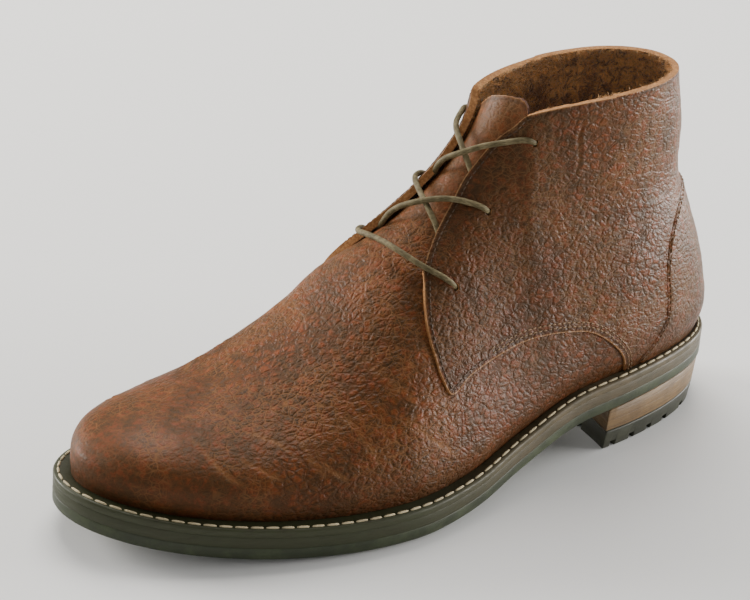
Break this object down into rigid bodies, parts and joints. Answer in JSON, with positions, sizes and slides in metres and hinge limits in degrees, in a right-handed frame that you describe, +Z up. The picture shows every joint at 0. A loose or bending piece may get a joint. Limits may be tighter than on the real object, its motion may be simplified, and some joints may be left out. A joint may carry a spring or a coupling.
{
  "type": "chukka boot",
  "caption": "Left leather chukka boot: open-laced ankle upper with tongue, stitched welt, lugged rubber sole and stacked heel.",
  "frame": {"origin": "under the middle of the sole, on the floor that the boot stands on", "axes": "+Z up, toe towards -Y, heel towards +Y, +X towards the outer side of the foot"},
  "size_m": [0.109, 0.305, 0.1482],
  "materials": {
    "upper_leather": "pebbled, semi-gloss",
    "tongue_leather": "pebbled, semi-gloss",
    "insole_board": "matte",
    "welt_leather": "matte",
    "midsole_leather": "matte",
    "outsole_rubber": "matte",
    "stacked_leather": "satin",
    "heel_rubber": "matte",
    "lace_cord": "waxed"
  },
  "bodies": {
    "root": {"upper": "upper_leather", "tongue": "tongue_leather", "insole": "insole_board", "welt": "welt_leather", "midsole": "midsole_leather", "outsole": "outsole_rubber", "heel_block": "stacked_leather", "heel_top_piece": "heel_rubber", "lace_bar": "lace_cord", "lace_cross_lower": "lace_cord", "lace_cross_upper": "lace_cord"}
  },
  "joints": []
}
